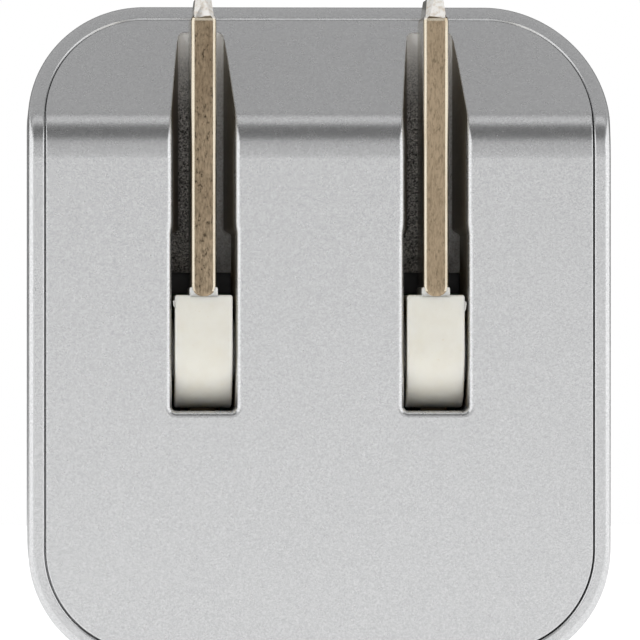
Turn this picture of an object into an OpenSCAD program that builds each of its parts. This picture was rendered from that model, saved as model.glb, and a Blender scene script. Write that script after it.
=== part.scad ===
// Pocket USB wall charger with two folding blades.
// +Z is up along the folded blades, the prong face looks to -Y and the USB end to +Y.
// The origin is the middle of the bottom of the whole object.

/* [Case] */
// Width of the case
body_w = 31.9; // [30:0.1:36]
// Height of the case
body_h = 36.5; // [36.3:0.1:36.6]
// Depth of the case from the prong face to the USB end
body_d = 25.0; // [25:0.1:27]
// Radius of the four upright corners
corner_r = 6.5; // [4:0.1:8]
// Radius round the edge of the USB end
end_edge_r = 2.6; // [1:0.1:3]
// Thickness of the case walls
wall = 1.6; // [1.4:0.1:1.8]
// Width of the case's rim round the face panel
rim_w = 0.92; // [0.8:0.02:1.1]
// Width of the rim along its top edge
rim_top = 0.76; // [0.7:0.02:0.92]

/* [Face panel] */
// Gap of the seam between the rim and the panel
seam_gap = 0.06; // [0.04:0.01:0.1]
// Thickness of the panel
panel_t = 1.6; // [1.4:0.1:1.8]
// Height at which the flat face and the slope would meet in a sharp crease
crease_z = 29.6; // [29.2:0.1:30]
// Angle that the slope leans back from the flat face
slope_angle = 52.2; // [51:0.1:54]
// Radius of the bend between the flat face and the slope
bend_r = 3.5; // [2.5:0.1:4.5]

/* [Blades] */
// Distance between the middles of the blades
blade_pitch = 12.7; // [12.7]
// Thickness of a blade
blade_t = 1.4; // [1.4:0.01:1.5]
// Width of a blade
blade_w = 6.35; // [6.3:0.01:6.4]
// Length of a blade that stands out of its pivot block
blade_len = 16.1; // [15.9:0.1:16.5]
// Height and depth of the corner cuts at a blade's tip
tip_cut = 1.0; // [0.6:0.1:1.4]
// Thickness left at the very end of a blade
tip_t = 0.7; // [0.5:0.1:1]

/* [Pivot] */
// Height of the pivot above the bottom
pivot_z = 17.4; // [17:0.1:17.8]
// Depth of the pivot behind the flat face
pivot_depth = 3.2; // [3.2:0.01:3.25]
// Half the height and depth of a pivot block
block_half = 3.15; // [3.1:0.01:3.18]
// Width of a pivot block
block_w = 3.15; // [3.0:0.05:3.2]
// Radius of the carrier's shaft
shaft_r = 1.7; // [1.5:0.05:1.8]
// Radial clearance of the shaft in its bearings
shaft_gap = 0.05; // [0.03:0.01:0.08]
// Radius that the blade tails sweep round the pivot
tail_r = 4.6; // [4.5:0.05:4.7]

/* [Blade slots] */
// Width of a slot at the face, in its long upper part
slot_w = 3.4; // [3.3:0.05:3.5]
// Width of a slot at its floor, in its long upper part
slot_floor_w = 2.5; // [2.3:0.05:2.7]
// Width of the pivot pocket at the face
pocket_w = 3.5; // [3.45:0.05:3.6]
// Width of the pivot pocket at its floor
pocket_floor_w = 3.36; // [3.3:0.02:3.4]
// Depth of the slot floor behind the flat face
slot_depth = 7.1; // [7:0.05:7.2]
// Height of a slot's top end above the bottom
slot_top_z = 35.0; // [34.9:0.05:35]
// Height of the pocket's top above the pivot
pocket_up = 6.7; // [6.4:0.1:7]
// Height of the open well's top above the pivot
well_up = 4.3; // [4.2:0.1:4.5]
// Depth of the well's bottom below the pivot
well_down = 3.3; // [3.25:0.05:3.4]
// Wall thickness of the boxes behind the slots
slot_wall = 0.9; // [0.8:0.05:1]

/* [USB socket] */
// Height of the socket's middle
usb_z = 18.1; // [17.5:0.1:18.5]
// Width of the socket's shell
usb_w = 13.1; // [13.1]
// Height of the socket's shell
usb_h = 5.72; // [5.72]
// Sheet thickness of the socket's shell
usb_t = 0.3; // [0.3]
// How far the socket's mouth lies behind the case's end face
usb_recess = 0.3; // [0.2:0.1:0.5]

/* [Circuit board] */
// Thickness of the board
board_t = 1.2; // [1:0.1:1.2]
// Depth of the board's front surface behind the flat face
board_depth = 9.4; // [9.4:0.1:9.6]

/* [Hidden] */
$fn = 64;
eps = 0.01;
over = 1;
weld = 0.2;
face_y = -body_d / 2;
end_y = body_d / 2;
pivot_y = face_y + pivot_depth;
blade_x = blade_pitch / 2;
blade_tip_z = block_half + blade_len;
blade_seat = 0.2;
shoulder_z = block_half - blade_seat;
collar_h = 0.25;
board_front = face_y + board_depth;
board_back = board_front + board_t;
usb_mouth_y = end_y - usb_recess;
inner_end_y = end_y - wall;
panel_inset = rim_w + seam_gap;
slot_box_w = slot_w + 2 * slot_wall;
slot_box_back = face_y + slot_depth + slot_wall;
slope_run = 40;
cam_half = 1.78;
cam_r = 1.88;
cam_w = 3;
cam_gap = 0.15;
leaf_t = 0.3;
leaf_y = pivot_y + cam_r + 0.07;
screw_rise = 6.2;

// ---- Shared shapes ----

// A flat shape drawn in X and Z, made solid from y0 to y1
module along_y(y0, y1) {
    translate([0, y1, 0]) rotate([90, 0, 0]) linear_extrude(y1 - y0) children();
}

// A flat shape drawn in Y and Z, made solid from x0 to x1
module along_x(x0, x1) {
    translate([x0, 0, 0]) rotate([90, 0, 90]) linear_extrude(x1 - x0) children();
}

// A box given by its lowest and highest corners
module span(low, high) {
    translate(low) cube(high - low);
}

// A round bar along Y
module bar_y(x, z, r, y0, y1) {
    translate([x, y1, z]) rotate([90, 0, 0]) cylinder(r = r, h = y1 - y0);
}

// A round bar along X through the pivot
module bar_x(r, x0, x1) {
    translate([x0, pivot_y, pivot_z]) rotate([0, 90, 0]) cylinder(r = r, h = x1 - x0);
}

// A rectangle with round corners, centred
module round_rect(w, h, r) {
    square([w, h - 2 * r], center = true);
    square([w - 2 * r, h], center = true);
    for (x = [-1, 1], z = [-1, 1])
        translate([x * (w / 2 - r), z * (h / 2 - r)]) circle(r);
}

// The case's outline in X and Z, moved inwards all round
module outline(inset) {
    translate([0, body_h / 2])
        round_rect(body_w - 2 * inset, body_h - 2 * inset, corner_r - inset);
}

// The outline of the rim's inner edge, which is a little narrower along the top
module face_outline(inset) {
    rise = rim_w - rim_top;
    translate([0, (body_h + rise) / 2])
        round_rect(body_w - 2 * inset, body_h - 2 * inset + rise, corner_r - inset);
}

// Everything behind the face surface in Y and Z, moved inwards by depth:
// a flat face, a bend of constant radius and a straight slope
module behind_face(depth) {
    flat_y = face_y + depth;
    middle = [face_y + bend_r, crease_z - bend_r * tan(slope_angle / 2)];
    crease = [flat_y, middle[1] + (bend_r - depth) * tan(slope_angle / 2)];
    bend_end = middle + (bend_r - depth) * [-cos(slope_angle), sin(slope_angle)];
    slope_end = crease + slope_run * [sin(slope_angle), cos(slope_angle)];
    difference() {
        polygon([[flat_y, -over], crease, slope_end, [slope_end[0], -over]]);
        // What the bend takes off the sharp crease
        difference() {
            polygon([[flat_y, middle[1]], 2 * crease - middle, bend_end, middle]);
            translate(middle) circle(bend_r - depth);
        }
    }
}

// Side section of the case in Y and Z, both corners of the USB end rounded
module side_section() {
    r = end_edge_r;
    translate([face_y, 0]) square([body_d - r, body_h]);
    translate([face_y, r]) square([body_d, body_h - 2 * r]);
    for (z = [r, body_h - r]) translate([end_y - r, z]) circle(r);
}

// Plan of the case in X and Y, both corners of the USB end rounded
module plan_section() {
    r = end_edge_r;
    translate([-body_w / 2, face_y]) square([body_w, body_d - r]);
    translate([-body_w / 2 + r, face_y]) square([body_w - 2 * r, body_d]);
    for (x = [-1, 1]) translate([x * (body_w / 2 - r), end_y - r]) circle(r);
}

// Half section of an upright corner, turned about the corner's own axis
module corner_section() {
    r = end_edge_r;
    translate([0, face_y]) square([corner_r, body_d - r]);
    translate([0, face_y]) square([corner_r - r, body_d]);
    intersection() {
        translate([corner_r - r, end_y - r]) circle(r);
        translate([0, face_y]) square([corner_r, body_d]);
    }
}

// The case's whole outer form before the face is cut
module outer_form() {
    across = body_w / 2 - corner_r;
    along_x(-across, across) side_section();
    translate([0, 0, corner_r]) linear_extrude(body_h - 2 * corner_r) plan_section();
    for (x = [-across, across], z = [corner_r, body_h - corner_r])
        translate([x, 0, z]) rotate([-90, 0, 0]) rotate_extrude() corner_section();
}

// ---- Case ----

rib_w = 1.5;
rib_x = 12.9;
rib_z = [12.6, 22.4];
usb_hole_gap = 0.3;
usb_hole_r = 0.6;

// Painted tub: side walls, rim round the panel and the USB end
module main_shell() {
    color("silver") difference() {
        intersection() {
            outer_form();
            along_x(-body_w, body_w) behind_face(0);
        }
        // Room inside the walls, with a rib left on each side for the board
        difference() {
            along_y(face_y - over, inner_end_y) outline(wall);
            for (side = [-1, 1], z = rib_z)
                translate([side > 0 ? rib_x : -body_w / 2, board_back, z])
                    cube([body_w / 2 - rib_x, body_d, rib_w]);
        }
        // Step that the panel sits in
        difference() {
            along_y(face_y - over, end_y) face_outline(rim_w);
            along_x(-body_w, body_w) behind_face(panel_t);
        }
        // Opening round the socket's mouth
        translate([0, 0, usb_z]) along_y(inner_end_y - over, end_y + over)
            round_rect(usb_w + 2 * usb_hole_gap, usb_h + 2 * usb_hole_gap, usb_hole_r);
    }
}

// ---- Face panel ----

post_x = 11.4;
post_z = [9, 25];
post_r = 1.3;
boss_r = 2.3;
screw_r = 0.85;
well_run = 6;
tail_room_front = 1.55;
tail_room = 0.5;
box_front = 0.5;
box_floor = 1.1;
box_rise = 4.4;
cam_side = 0.3;

// Section of a slot in X and Y: mouth_w wide at the face, floor_w at the floor
module slot_section(mouth_w, floor_w, depth) {
    flare = (mouth_w - floor_w) / 2 / slot_depth;
    mouth = mouth_w / 2 + flare;
    bottom = floor_w / 2 - flare * (depth - slot_depth);
    polygon([
        [-mouth, face_y - over], [mouth, face_y - over],
        [bottom, face_y + depth], [-bottom, face_y + depth]
    ]);
}

// Everything cut out for one blade, its block and its tail
module slot_cuts() {
    through = slot_depth + well_run;
    translate([0, 0, pivot_z + well_up]) linear_extrude(slot_top_z - pivot_z - well_up)
        slot_section(slot_w, slot_floor_w, slot_depth);
    translate([0, 0, pivot_z - well_down]) linear_extrude(well_down + pocket_up)
        slot_section(pocket_w, pocket_floor_w, slot_depth);
    translate([0, 0, pivot_z - well_down]) linear_extrude(well_down + well_up)
        slot_section(pocket_w, pocket_floor_w, through);
    // Room for the tail below the block, behind the panel's skin
    span([-blade_t, pivot_y - tail_room_front, pivot_z - tail_r - tail_room],
         [blade_t, pivot_y + through, pivot_z]);
    // Bearing for the shaft, open to the back
    bar_x(shaft_r + shaft_gap, -slot_box_w, slot_box_w);
    span([-slot_box_w, pivot_y, pivot_z - shaft_r - shaft_gap],
         [slot_box_w, pivot_y + through, pivot_z + shaft_r + shaft_gap]);
}

// Panel skin that follows the face surface, inside the seam
module panel_skin() {
    intersection() {
        along_y(face_y - over, end_y) face_outline(panel_inset);
        along_x(-body_w, body_w) difference() {
            behind_face(0);
            behind_face(panel_t);
        }
    }
}

// Box behind a slot that carries its floor and walls
module slot_box() {
    intersection() {
        span([-slot_box_w / 2, face_y + box_front, pivot_z - well_down - box_floor],
             [slot_box_w / 2, slot_box_back, crease_z + box_rise]);
        along_x(-body_w, body_w) behind_face(box_front);
    }
}

// Painted face panel with both slots, the shaft's bearings, screw bosses and board posts
module prong_panel() {
    skin_back = face_y + panel_t - weld;
    color("silver") difference() {
        union() {
            panel_skin();
            for (x = [-blade_x, blade_x]) translate([x, 0, 0]) slot_box();
            for (z = [-screw_rise, screw_rise])
                bar_y(0, pivot_z + z, boss_r, skin_back, leaf_y);
            for (x = [-post_x, post_x], z = post_z)
                bar_y(x, z, post_r, skin_back, board_front);
        }
        for (x = [-blade_x, blade_x]) translate([x, 0, 0]) slot_cuts();
        // Hollow in the skin's back that clears the shaft and its cam
        bar_x(shaft_r + shaft_gap, -blade_x, blade_x);
        bar_x(cam_r + cam_gap, -cam_w / 2 - cam_side, cam_w / 2 + cam_side);
        for (z = [-screw_rise, screw_rise])
            bar_y(0, pivot_z + z, screw_r, face_y + panel_t, leaf_y + over);
    }
}

// ---- Blades and their carrier ----

neck_w = 4;
neck_down = 2.2;
tail_front = 0.3;
tail_w = 2.1;
collar_side = 0.1;
collar_back = 0.05;
shaft_run = 0.6;

// Side outline of a blade about the pivot, in Y and Z: prong, neck and contact tail
module blade_outline() {
    half = blade_w / 2;
    polygon([
        [-half, shoulder_z], [half, shoulder_z],
        [half, blade_tip_z - tip_cut], [half - tip_cut, blade_tip_z],
        [tip_cut - half, blade_tip_z], [-half, blade_tip_z - tip_cut]
    ]);
    translate([-neck_w / 2, -neck_down]) square([neck_w, shoulder_z + neck_down]);
    intersection() {
        circle(tail_r);
        translate([tail_front, -tail_r - over]) square([tail_w, tail_r]);
    }
}

// Front outline of a blade in X and Z, thinned towards its tip
module blade_front() {
    polygon([
        [-blade_t / 2, -tail_r - over], [blade_t / 2, -tail_r - over],
        [blade_t / 2, blade_tip_z - tip_cut], [tip_t / 2, blade_tip_z],
        [-tip_t / 2, blade_tip_z], [-blade_t / 2, blade_tip_z - tip_cut]
    ]);
}

// One blade at the middle of the pivot
module blade() {
    intersection() {
        translate([0, pivot_y, pivot_z]) along_x(-blade_t, blade_t) blade_outline();
        translate([0, 0, pivot_z]) along_y(face_y - over, end_y) blade_front();
    }
}

module blade_left() {
    color("burlywood") translate([-blade_x, 0, 0]) blade();
}

module blade_right() {
    color("burlywood") translate([blade_x, 0, 0]) blade();
}

// Side outline of a pivot block: round below the pivot, square above, and a low collar
module block_outline() {
    circle(block_half);
    translate([-block_half, 0]) square([2 * block_half, block_half]);
}

// One-piece nylon rocker: shaft, detent cam and a block moulded round each blade
module blade_carrier() {
    collar = [blade_t + 2 * collar_side, 2 * (block_half - collar_back), 2 * collar_h];
    shaft_end = blade_x + slot_box_w / 2 + shaft_run;
    color("ivory") difference() {
        union() {
            bar_x(shaft_r, -shaft_end, shaft_end);
            translate([0, pivot_y, pivot_z]) {
                along_x(-cam_w / 2, cam_w / 2) intersection() {
                    circle(cam_r);
                    square(2 * cam_half, center = true);
                }
                for (x = [-blade_x, blade_x]) {
                    along_x(x - block_w / 2, x + block_w / 2) block_outline();
                    translate([x, 0, block_half]) cube(collar, center = true);
                }
            }
        }
        for (x = [-blade_x, blade_x]) translate([x, 0, 0]) blade();
    }
}

// ---- Pivot hardware ----

bracket_t = 1.5;
bracket_w = 5.6;
bracket_rise = 8.6;
saddle_x = [2.05, 3.5];
saddle_half = 2.6;
cover_z = [block_half, 5.2];
cover_x = 9.2;
cover_t = 0.7;
cover_step_z = 4.2;
head_r = 1.8;
head_h = 1.2;
leaf_w = 3.6;
leaf_end = 0.4;
hole_play = 0.15;
head_play = 0.2;
saddle_front = 0.3;
cover_gap = 0.05;
cover_arm = 1;
leaf_side = 0.1;
leaf_bend = 0.6;
leaf_free = 4;
thread_run = 3;
recess = [0.4, 1.2, 2.2];

// Steel leaf that bears on the cam, clamped under the bracket
module detent_spring() {
    color("lightsteelblue") difference() {
        span([-leaf_w / 2, leaf_y, pivot_z - bracket_rise + leaf_end],
             [leaf_w / 2, leaf_y + leaf_t, pivot_z + bracket_rise - leaf_end]);
        for (z = [-screw_rise, screw_rise])
            bar_y(0, pivot_z + z, screw_r + hole_play, leaf_y - over, leaf_y + over);
    }
}

// Black clamp: a bar over the leaf, two saddles that close the bearings, and a strip
// that closes the wells from behind
module carrier_bracket() {
    seat_y = leaf_y + leaf_t;
    cover_y = slot_box_back + cover_gap;
    color("black") difference() {
        union() {
            span([-bracket_w / 2, seat_y, pivot_z - bracket_rise],
                 [bracket_w / 2, seat_y + bracket_t, pivot_z + bracket_rise]);
            for (side = [-1, 1]) {
                low = side > 0 ? saddle_x[0] : -saddle_x[1];
                span([low, pivot_y + saddle_front, pivot_z - saddle_half],
                     [low + saddle_x[1] - saddle_x[0], seat_y + bracket_t,
                      pivot_z + saddle_half]);
            }
            span([-bracket_w / 2, seat_y + cover_arm, pivot_z + cover_z[0]],
                 [bracket_w / 2, cover_y + cover_t, pivot_z + cover_step_z]);
            span([-cover_x, cover_y, pivot_z + cover_z[0]],
                 [cover_x, cover_y + cover_t, pivot_z + cover_z[1]]);
        }
        bar_x(shaft_r + shaft_gap, -bracket_w, bracket_w);
        // Relief that lets the leaf bend over the cam
        span([-leaf_w / 2 - leaf_side, seat_y - over, pivot_z - leaf_free],
             [leaf_w / 2 + leaf_side, seat_y + leaf_bend, pivot_z + leaf_free]);
        for (z = [-screw_rise, screw_rise]) {
            bar_y(0, pivot_z + z, screw_r + hole_play, seat_y - over, seat_y + bracket_t + over);
            bar_y(0, pivot_z + z, head_r + head_play, seat_y + bracket_t, board_front);
        }
    }
}

// Two pan-head self-tapping screws
module bracket_screws() {
    head_y = leaf_y + leaf_t + bracket_t;
    color("gray") for (z = [-screw_rise, screw_rise]) difference() {
        union() {
            bar_y(0, pivot_z + z, screw_r, leaf_y - thread_run, head_y + eps);
            bar_y(0, pivot_z + z, head_r, head_y, head_y + head_h);
        }
        for (turn = [0, 90]) translate([0, head_y + head_h, pivot_z + z])
            rotate([0, turn, 0]) cube(recess, center = true);
    }
}

contact_t = 0.3;
contact_w = 2.2;
contact_play = 0.05;

// Side outline of a contact leaf, from its foot on the board to its curled end
module contact_outline() {
    t = contact_t;
    foot = board_front;
    touch = pivot_y + tail_r + contact_play;
    polygon([
        [foot, -7.2], [foot, -4.4], [touch + t, -1.4], [touch + t, 1.7], [foot - 0.5, 2.7],
        [foot - 0.5 - t, 2.9], [touch, 1.9], [touch, -1.6], [foot - t, -4.6], [foot - t, -7.2]
    ]);
}

// A contact leaf on the board behind a blade's tail
module contact_spring(x) {
    color("goldenrod") translate([0, 0, pivot_z])
        along_x(x - contact_w / 2, x + contact_w / 2) contact_outline();
}

module contact_spring_left() {
    contact_spring(-blade_x);
}

module contact_spring_right() {
    contact_spring(blade_x);
}

// ---- Circuit board and USB socket ----

board_x = 13.6;
board_z = [2.4, 33.6];
board_corner_r = 4.6;

// Circuit board across the case, between the panel's posts and the shell's ribs
module main_board() {
    height = board_z[1] - board_z[0];
    color("darkgreen") along_y(board_front, board_back)
        translate([0, board_z[0] + height / 2])
            round_rect(2 * board_x, height, board_corner_r);
}

usb_bend_r = 0.5;
usb_inner_r = 0.25;

// Sheet steel shell, open at the mouth, with a hole for the plug
module usb_shell() {
    color("silver") translate([0, 0, usb_z]) difference() {
        along_y(board_back, usb_mouth_y) round_rect(usb_w, usb_h, usb_bend_r);
        along_y(board_back + usb_t, end_y + over)
            round_rect(usb_w - 2 * usb_t, usb_h - 2 * usb_t, usb_inner_r);
    }
}

tongue_w = 11.1;
tongue_t = 1.84;
tongue_drop = 0.66;
tongue_back = 1.0;
base_play = 0.1;
base_d = 3;
contact_x = [-3.5, -1, 1, 3.5];
contact_strip = [1, 0.15];
contact_reach = [1.2, 2.2, 2.2, 1.2];

// Moulded insulator: a base that fills the shell's back and the tongue
module usb_tongue() {
    top = usb_h / 2 - usb_t;
    side = usb_w / 2 - usb_t;
    color("white") translate([0, 0, usb_z]) {
        span([base_play - side, board_back + usb_t, base_play - top],
             [side - base_play, board_back + base_d, top - base_play]);
        span([-tongue_w / 2, board_back + base_d - base_play, top - tongue_drop - tongue_t],
             [tongue_w / 2, usb_mouth_y - tongue_back, top - tongue_drop]);
    }
}

// Four contact strips on the lower face of the tongue, the outer two longer
module usb_contacts() {
    low = usb_z + usb_h / 2 - usb_t - tongue_drop - tongue_t;
    half = contact_strip[0] / 2;
    color("gold") for (i = [0:3])
        span([contact_x[i] - half, board_back + base_d, low - contact_strip[1]],
             [contact_x[i] + half, usb_mouth_y - tongue_back - contact_reach[i], low]);
}

// ---- Transformer ----

core_w = 13;
core_z = [22.4, 33.6];
core_y = [1.2, 7.2];
window_z = [24.2, 31.8];
leg_half = 1.6;
limb_w = 1.6;

// Ferrite frame with a middle leg
module transformer_core() {
    color("dimgray") difference() {
        span([-core_w / 2, core_y[0], core_z[0]], [core_w / 2, core_y[1], core_z[1]]);
        for (side = [-1, 1]) {
            low = side > 0 ? leg_half : limb_w - core_w / 2;
            span([low, core_y[0] - over, window_z[0]],
                 [low + core_w / 2 - limb_w - leg_half, core_y[1] + over, window_z[1]]);
        }
    }
}

// A square tube round the core's middle leg
module leg_tube(inner, thickness, z0, z1) {
    reach = [leg_half + inner, (core_y[1] - core_y[0]) / 2 + inner];
    outer = reach + [thickness, thickness];
    translate([0, (core_y[0] + core_y[1]) / 2, z0]) linear_extrude(z1 - z0)
        difference() {
            square(2 * outer, center = true);
            square(2 * reach, center = true);
        }
}

bobbin_play = 0.05;
bobbin_wall = 0.4;
winding_t = 1.6;
flange_t = 0.5;
flange_lip = 0.6;
tape_t = 0.15;

// Moulded former: a tube round the leg with a flange at each end
module transformer_bobbin() {
    color("black") {
        leg_tube(bobbin_play, bobbin_wall, window_z[0] + bobbin_play, window_z[1] - bobbin_play);
        for (z = [window_z[0] + bobbin_play, window_z[1] - bobbin_play - flange_t])
            leg_tube(bobbin_play, bobbin_wall + winding_t + flange_lip, z, z + flange_t);
    }
}

// Copper windings on the former
module transformer_winding() {
    color("peru") leg_tube(bobbin_play + bobbin_wall, winding_t,
        window_z[0] + 2 * bobbin_play + flange_t, window_z[1] - 2 * bobbin_play - flange_t);
}

// Yellow tape round the windings
module transformer_tape() {
    color("gold") leg_tube(bobbin_play + bobbin_wall + winding_t, tape_t,
        window_z[0] + 2 * bobbin_play + flange_t, window_z[1] - 2 * bobbin_play - flange_t);
}

// ---- Parts on the board ----

input_cap = [4.0, 11.6];
input_cap_x = 9.2;
input_cap_z = 7.0;
output_cap = [3.15, 11.2];
output_cap_x = 10.35;
output_cap_z = 28.4;
sleeve_t = 0.1;
sleeve_lip = 0.8;
sleeve_foot = 0.3;

// An electrolytic capacitor's can, standing on the board
module capacitor_can(x, z, size) {
    color("silver") bar_y(x, z, size[0] - sleeve_t, board_back, board_back + size[1]);
}

// The sleeve round a can, with a lip over its end
module capacitor_sleeve(x, z, size, tint) {
    lip_y = board_back + size[1];
    color(tint) difference() {
        bar_y(x, z, size[0], board_back + sleeve_foot, lip_y + sleeve_t);
        bar_y(x, z, size[0] - sleeve_t, board_back, lip_y);
        bar_y(x, z, size[0] - sleeve_lip, board_back, lip_y + over);
    }
}

module input_capacitor_cans() {
    for (x = [-input_cap_x, input_cap_x]) capacitor_can(x, input_cap_z, input_cap);
}

module input_capacitor_sleeves() {
    for (x = [-input_cap_x, input_cap_x])
        capacitor_sleeve(x, input_cap_z, input_cap, "midnightblue");
}

module output_capacitor_can() {
    capacitor_can(output_cap_x, output_cap_z, output_cap);
}

module output_capacitor_sleeve() {
    capacitor_sleeve(output_cap_x, output_cap_z, output_cap, "darkgreen");
}

inductor_z = 10.6;
inductor_h = 7;
inductor_r = 2.7;
drum_r = 1.3;
drum_rim = 0.9;
winding_inset = 0.4;

// Ferrite drum
module filter_inductor_core() {
    color("dimgray") {
        bar_y(0, inductor_z, drum_r, board_back, board_back + inductor_h);
        for (y = [0, inductor_h - drum_rim])
            bar_y(0, inductor_z, inductor_r, board_back + y, board_back + y + drum_rim);
    }
}

// Copper wire on the drum
module filter_inductor_winding() {
    color("peru") difference() {
        bar_y(0, inductor_z, inductor_r - winding_inset,
            board_back + drum_rim, board_back + inductor_h - drum_rim);
        bar_y(0, inductor_z, drum_r, board_back, board_back + inductor_h);
    }
}

lead_r = 0.3;
resistor_z = 4.9;
resistor_r = 1.6;
resistor_y = [1, 9];

// Fusible resistor that stands on its lead
module fuse_resistor() {
    color("tan") {
        bar_y(0, resistor_z, lead_r, board_back, board_back + resistor_y[0] + sleeve_t);
        bar_y(0, resistor_z, resistor_r, board_back + resistor_y[0], board_back + resistor_y[1]);
    }
}

leg_w = 0.4;
leg_t = 0.25;
leg_reach = 0.9;
bridge_place = [0, 5.6];
bridge_size = [4.7, 2.4, 3.9];
chip_place = [0, 28.6];
chip_size = [4.9, 1.5, 3.9];
coupler_place = [-10.2, 18.1];
coupler_size = [4.6, 3.5, 4.4];
diode_place = [10.2, 18.1];
diode_size = [3.6, 2.3, 4.3];

// A moulded part with rows of legs above and below, on the board's surface at y.
// facing is 1 on the board's back and -1 on its front; place is its X and Z, size its
// X, Y and Z.
module flat_part(place, size, y, facing, legs) {
    x = place[0];
    z = place[1];
    body_low = facing > 0 ? y : y - size[1];
    leg_low = facing > 0 ? y : y - leg_t;
    half_z = size[2] / 2;
    step = size[0] / legs;
    span([x - size[0] / 2, body_low, z - half_z],
         [x + size[0] / 2, body_low + size[1], z + half_z]);
    for (i = [0 : legs - 1]) {
        leg_x = x - size[0] / 2 + (i + 0.5) * step;
        span([leg_x - leg_w / 2, leg_low, z - half_z - leg_reach],
             [leg_x + leg_w / 2, leg_low + leg_t, z + half_z + leg_reach]);
    }
}

module bridge_rectifier() {
    color("black") flat_part(bridge_place, bridge_size, board_front, -1, 2);
}

module controller_chip() {
    color("black") flat_part(chip_place, chip_size, board_front, -1, 4);
}

module optocoupler() {
    color("black") flat_part(coupler_place, coupler_size, board_back, 1, 2);
}

module output_diode() {
    color("black") flat_part(diode_place, diode_size, board_back, 1, 1);
}

disc_x = [-11.6, -9];
disc_z = 28.4;
disc_r = 3.4;
disc_y = 4;
disc_lead = 2.5;
disc_lead_len = 3;

// Blue disc capacitor that stands on edge
module y_capacitor() {
    color("royalblue") {
        translate([disc_x[0], board_back + disc_y, disc_z]) rotate([0, 90, 0])
            cylinder(r = disc_r, h = disc_x[1] - disc_x[0]);
        for (z = [-disc_lead, disc_lead])
            bar_y((disc_x[0] + disc_x[1]) / 2, disc_z + z, lead_r,
                board_back, board_back + disc_lead_len);
    }
}

sheet_x = 12;
sheet_z = [13.75, 14];
sheet_gap = 0.2;

// Film that keeps the socket apart from the mains parts below it
module insulation_sheet() {
    color("whitesmoke") span([-sheet_x, board_back, sheet_z[0]],
                             [sheet_x, inner_end_y - sheet_gap, sheet_z[1]]);
}

main_shell();
prong_panel();
blade_carrier();
blade_left();
blade_right();
carrier_bracket();
bracket_screws();
detent_spring();
contact_spring_left();
contact_spring_right();
main_board();
usb_shell();
usb_tongue();
usb_contacts();
transformer_core();
transformer_bobbin();
transformer_winding();
transformer_tape();
input_capacitor_cans();
input_capacitor_sleeves();
output_capacitor_can();
output_capacitor_sleeve();
filter_inductor_core();
filter_inductor_winding();
fuse_resistor();
bridge_rectifier();
controller_chip();
optocoupler();
output_diode();
y_capacitor();
insulation_sheet();
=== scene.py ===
import math

import bmesh
import bpy
from mathutils import Matrix, Vector, geometry


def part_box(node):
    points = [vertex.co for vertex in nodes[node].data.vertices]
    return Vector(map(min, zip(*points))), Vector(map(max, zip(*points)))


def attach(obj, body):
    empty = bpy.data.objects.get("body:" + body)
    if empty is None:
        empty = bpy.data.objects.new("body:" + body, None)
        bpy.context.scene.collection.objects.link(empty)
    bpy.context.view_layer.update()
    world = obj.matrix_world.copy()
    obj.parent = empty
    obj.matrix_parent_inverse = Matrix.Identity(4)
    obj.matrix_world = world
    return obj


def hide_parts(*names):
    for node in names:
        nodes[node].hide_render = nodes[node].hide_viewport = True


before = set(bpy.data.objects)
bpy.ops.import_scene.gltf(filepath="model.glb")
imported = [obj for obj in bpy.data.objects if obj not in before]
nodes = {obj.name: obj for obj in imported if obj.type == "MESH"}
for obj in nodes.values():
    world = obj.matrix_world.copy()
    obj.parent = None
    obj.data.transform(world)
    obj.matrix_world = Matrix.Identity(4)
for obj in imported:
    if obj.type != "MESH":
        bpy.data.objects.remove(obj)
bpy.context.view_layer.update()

MM = 0.001

# ---- Stage ----
# A pale table top under the charger, a bright front panel behind the camera, a softbox
# overhead and a tall strip on each side. The camera looks straight at the prong face
# through a long lens, a little from the left.


def connect(node, inputs):
    """Sets a node's inputs. Another node's output is linked, anything else is a constant."""
    for name, value in inputs.items():
        socket = node.inputs[name]
        if isinstance(value, bpy.types.NodeSocket):
            node.id_data.links.new(value, socket)
        else:
            socket.default_value = value


def add_node(tree, kind, inputs, **settings):
    """Adds a node to a tree; returns its outputs."""
    node = tree.nodes.new(kind)
    for name, value in settings.items():
        setattr(node, name, value)
    connect(node, inputs)
    return node.outputs


def new_material(name):
    """An empty material; returns it, its tree and its Principled shader."""
    material = bpy.data.materials.new(name)
    material.use_nodes = True
    tree = material.node_tree
    return material, tree, tree.nodes["Principled BSDF"]


def look_towards(thing, place, target):
    """Puts a camera or light at place with its -Z axis at target."""
    thing.location = place
    thing.rotation_euler = (Vector(target) - Vector(place)).to_track_quat("-Z", "Y").to_euler()


def softbox(name, place, target, size, radiance):
    """A rectangular light whose surface is as bright as radiance says."""
    lamp = bpy.data.lights.new(name, "AREA")
    lamp.shape = "RECTANGLE"
    lamp.size, lamp.size_y = size
    lamp.energy = radiance * math.pi * size[0] * size[1]
    thing = bpy.data.objects.new(name, lamp)
    bpy.context.collection.objects.link(thing)
    look_towards(thing, place, target)
    thing.visible_camera = False


shell_low, shell_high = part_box("main_shell")
face_y = shell_low.y
end_y = shell_high.y
case_w = shell_high.x - shell_low.x
case_h = shell_high.z

table_glow = 0.78
room_light = 0.14
table_top = bpy.data.meshes.new("table_top")
table_top.from_pydata([(-2, -2, 0), (2, -2, 0), (2, 0.3, 0), (-2, 0.3, 0)], [], [(0, 1, 2, 3)])
table = bpy.data.objects.new("table_top", table_top)
bpy.context.collection.objects.link(table)
table_finish, tree, shader = new_material("pale_table")
connect(shader, {"Base Color": (0.95, 0.95, 0.95, 1), "Emission Color": (1, 1, 1, 1),
                 "Emission Strength": table_glow, "Roughness": 0.8})
table_top.materials.append(table_finish)

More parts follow.
